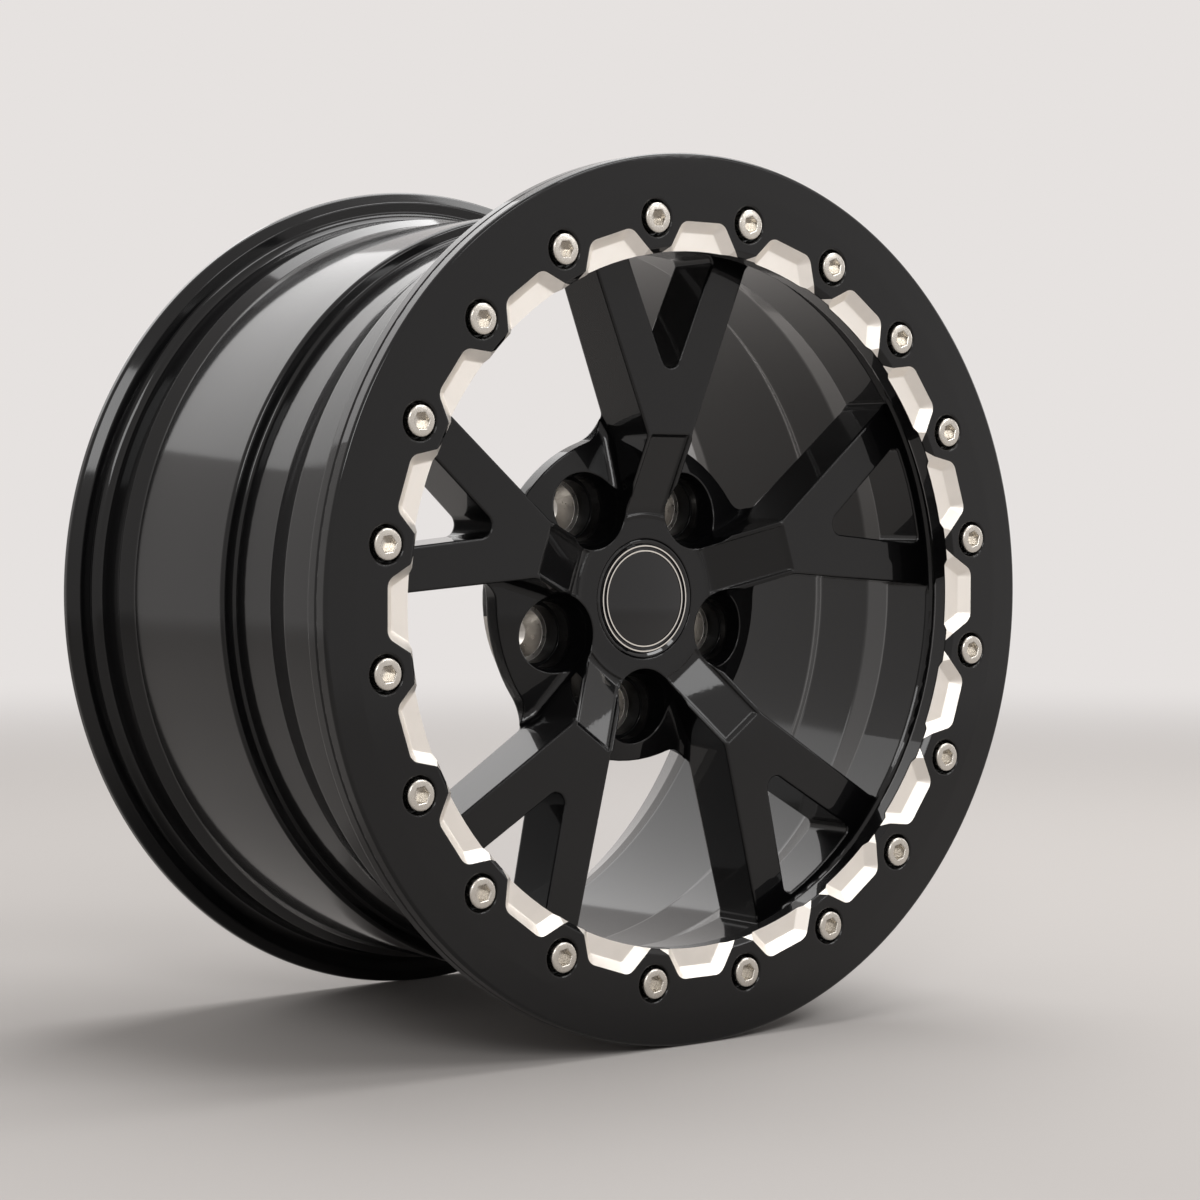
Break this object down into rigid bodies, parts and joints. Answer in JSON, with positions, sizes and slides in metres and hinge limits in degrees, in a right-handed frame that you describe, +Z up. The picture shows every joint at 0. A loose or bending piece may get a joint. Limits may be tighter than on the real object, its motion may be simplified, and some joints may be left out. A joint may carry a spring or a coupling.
{
  "type": "forged wheel",
  "caption": "Gloss black forged car wheel with Y-shaped spokes, a screwed-on rim ring with bare machined pockets, conical lug seats and a pressed-in centre cap.",
  "frame": {"origin": "on the wheel axis, halfway between the screw heads at the front and the rear edge of the rim", "axes": "+Y along the wheel axis from the outboard face towards the hub and the car, +Z up through the upper spoke"},
  "size_m": [0.4712, 0.27, 0.4712],
  "materials": {
    "wheel_paint": "gloss",
    "ring_paint": "gloss",
    "screw_steel": "satin",
    "cap_plastic": "gloss",
    "cap_dome": "gloss"
  },
  "bodies": {
    "root": {"forged_wheel": "wheel_paint", "rim_ring": "ring_paint", "ring_screws": "screw_steel", "cap_body": "cap_plastic", "cap_disc": "cap_dome"}
  },
  "joints": []
}
